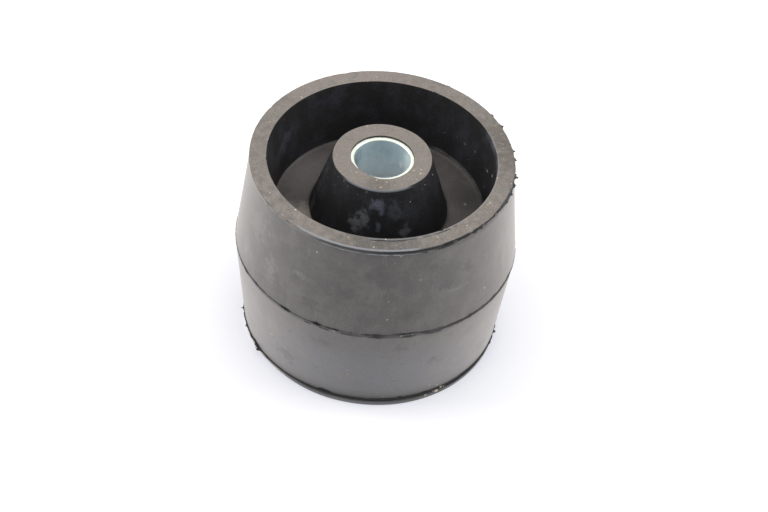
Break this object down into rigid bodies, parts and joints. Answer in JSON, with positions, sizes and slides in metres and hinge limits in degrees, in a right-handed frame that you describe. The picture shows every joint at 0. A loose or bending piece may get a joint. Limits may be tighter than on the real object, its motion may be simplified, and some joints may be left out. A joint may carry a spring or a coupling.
{
  "type": "boat trailer roller",
  "caption": "Rubber side roller with a tapered barrel, a ring-shaped recess and hub at each end, and a bonded steel sleeve for its spindle.",
  "frame": {"origin": "centre of the lower end, on the surface that the roller stands on", "axes": "+Z along the bore; the roller is the same all round"},
  "size_m": [0.099, 0.099, 0.075],
  "materials": {
    "black_rubber": "moulded, satin sides, dusty matt ends, flash on its joint lines",
    "zinc_plated_steel": "zinc plated, slightly mottled"
  },
  "bodies": {
    "root": {"rubber_roller": "black_rubber", "steel_sleeve": "zinc_plated_steel"}
  },
  "joints": []
}
